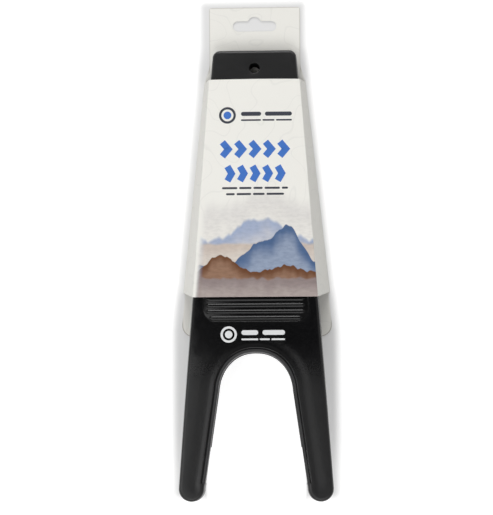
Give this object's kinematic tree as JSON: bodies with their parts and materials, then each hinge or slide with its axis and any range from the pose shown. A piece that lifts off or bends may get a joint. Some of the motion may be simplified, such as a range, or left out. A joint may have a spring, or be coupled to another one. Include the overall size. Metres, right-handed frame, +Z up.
{
  "type": "boot jack",
  "caption": "Moulded boot jack with a rubber-lined U notch and a ridged tread, raised on a leg, in a card sleeve with a hanging header that slides off.",
  "frame": {"origin": "on the ground under the middle of the whole object, at the underside of the card", "axes": "+X across the jack, to the right in the picture; +Y along it towards the heel end and the hanging header; +Z up"},
  "size_m": [0.1102, 0.3569, 0.0547],
  "materials": {
    "body_plastic": "fine-grained satin black moulding",
    "liner_rubber": "matt",
    "tread_rubber": "satin on the ridges' crests",
    "foot_rubber": "matt",
    "card": "coated white board"
  },
  "bodies": {
    "jack": {"jack_body": "body_plastic", "notch_liner": "liner_rubber", "tread_pad": "tread_rubber", "heel_foot_left": "foot_rubber", "heel_foot_right": "foot_rubber", "leg_foot_left": "foot_rubber", "leg_foot_right": "foot_rubber"},
    "sleeve": {"back_card": "card", "front_panel": "card", "side_panel_left": "card", "side_panel_right": "card", "glue_flap": "card"}
  },
  "joints": [
    {"name": "sleeve_slide", "type": "slide", "parent": "jack", "child": "sleeve", "axis": [0, 1, 0], "range_m": [0, 0.22]}
  ]
}
